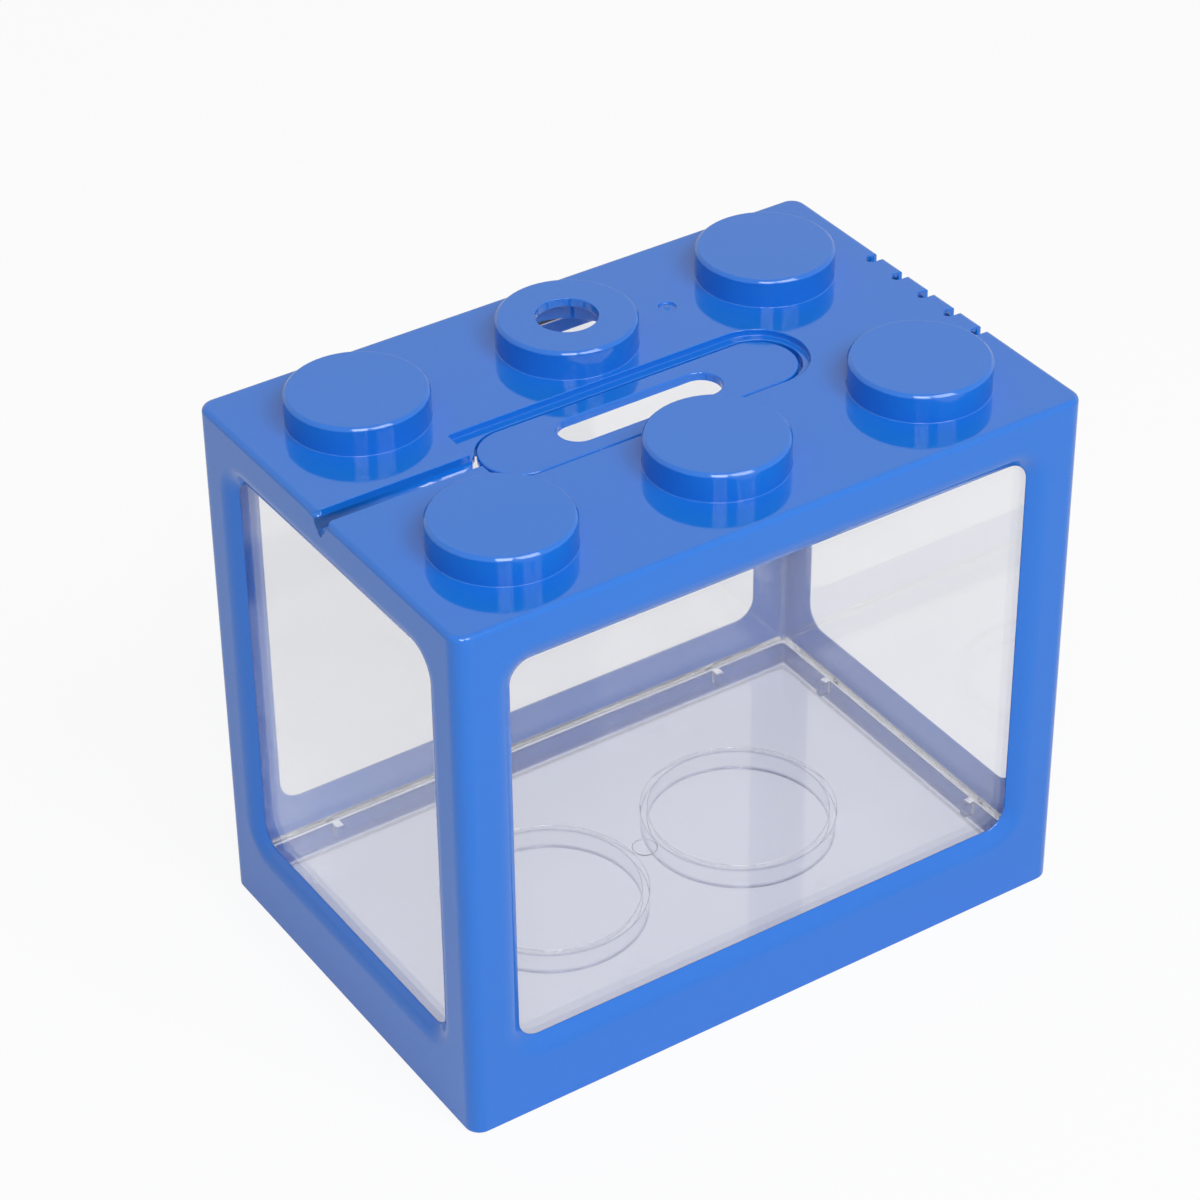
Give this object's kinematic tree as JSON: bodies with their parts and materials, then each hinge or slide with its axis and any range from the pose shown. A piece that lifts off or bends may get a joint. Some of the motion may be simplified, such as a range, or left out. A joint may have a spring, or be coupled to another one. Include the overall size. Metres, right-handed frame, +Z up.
{
  "type": "betta fish cube",
  "caption": "Small stackable fish tank for one betta: a clear inner tank under a blue moulded cover with four windows, studs on top and a slot plate for feeding.",
  "frame": {"origin": "middle of the underside, on the surface that the cube stands on", "axes": "+X along the long side towards the vent notches, +Y towards the back, +Z up"},
  "size_m": [0.12, 0.08, 0.1052],
  "materials": {
    "blue_plastic": "gloss",
    "clear_plastic": "gloss"
  },
  "bodies": {
    "tank": {"inner_tank": "clear_plastic"},
    "cover": {"outer_cover": "blue_plastic"},
    "plate": {"slot_plate": "blue_plastic"}
  },
  "joints": [
    {"name": "cover_lift", "type": "slide", "parent": "tank", "child": "cover", "axis": [0, 0, 1], "range_m": [0, 0.11]},
    {"name": "plate_lift", "type": "slide", "parent": "cover", "child": "plate", "axis": [0, 0, 1], "range_m": [0, 0.03]}
  ]
}
